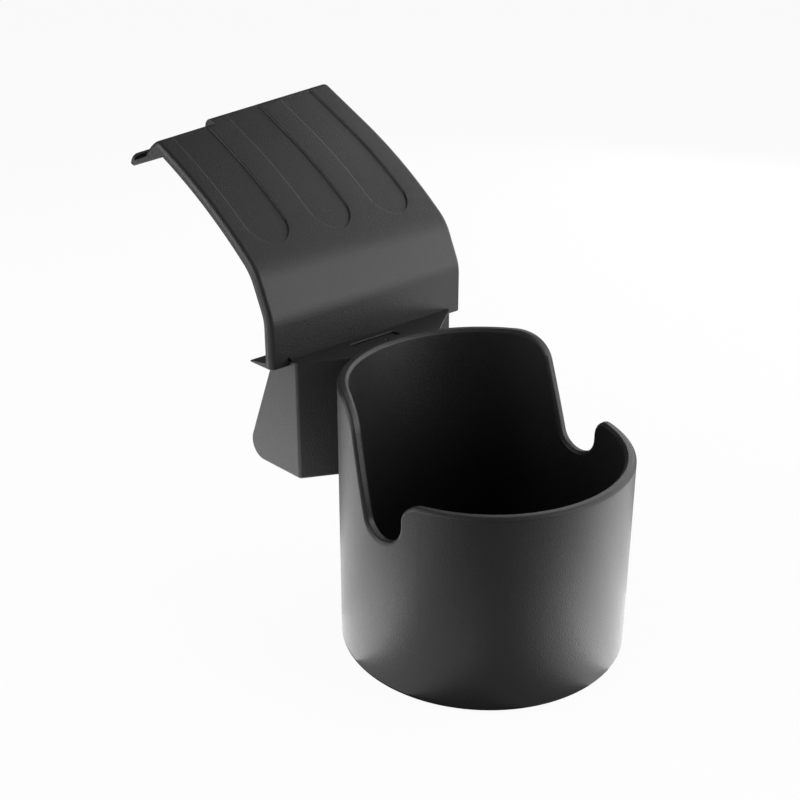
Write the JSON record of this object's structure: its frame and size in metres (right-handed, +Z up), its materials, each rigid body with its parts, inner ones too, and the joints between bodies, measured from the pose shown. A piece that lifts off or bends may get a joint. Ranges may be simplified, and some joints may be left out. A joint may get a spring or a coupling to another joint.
{
  "type": "car cup holder",
  "caption": "Slide-on cup holder for a car console: a round cup with a cut-down front and handle notches, on a moulded bracket with a curved, grooved cover and a rear hook.",
  "frame": {"origin": "centre of the cup's underside, on the cup's axis", "axes": "+Z up along the cup's axis, +Y from the cup to the console, +X along the bracket's width"},
  "size_m": [0.091, 0.1816, 0.1538],
  "materials": {
    "cup_plastic": "fine-grained matte black moulding",
    "bracket_plastic": "fine-grained matte black moulding"
  },
  "bodies": {
    "bracket": {"bracket": "bracket_plastic"},
    "cup": {"cup": "cup_plastic"}
  },
  "joints": [
    {"name": "cup_lift", "type": "slide", "parent": "bracket", "child": "cup", "axis": [0, 0, 1], "range_m": [0, 0.0365]}
  ]
}
